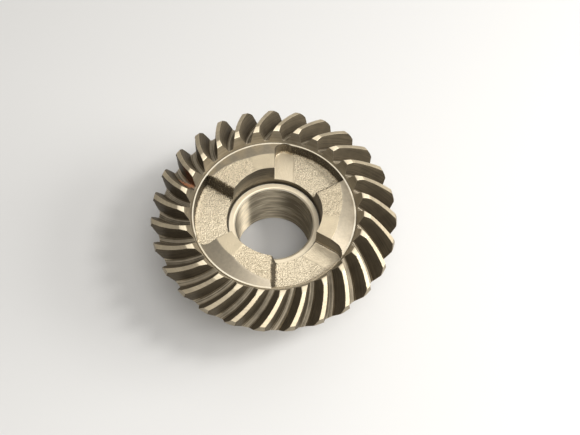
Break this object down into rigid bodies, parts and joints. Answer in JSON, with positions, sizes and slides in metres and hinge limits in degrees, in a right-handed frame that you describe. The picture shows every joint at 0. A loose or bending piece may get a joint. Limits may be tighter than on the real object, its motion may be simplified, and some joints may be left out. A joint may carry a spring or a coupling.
{
  "type": "outboard reverse gear",
  "caption": "Spiral bevel reverse gear of an outboard gearcase, with raised clutch lugs and pockets on its face, a plain bore and a bearing journal on its back.",
  "frame": {"origin": "centre of the hub end, which the gear stands on", "axes": "+Z along the bore towards the toothed face, +Y along one drive face of the clutch lugs"},
  "size_m": [0.073, 0.0729, 0.0301],
  "materials": {
    "gear_steel": "bare hardened steel, ground and turned where it works and grainy as forged in the pockets"
  },
  "bodies": {
    "root": {"reverse_gear": "gear_steel"}
  },
  "joints": []
}
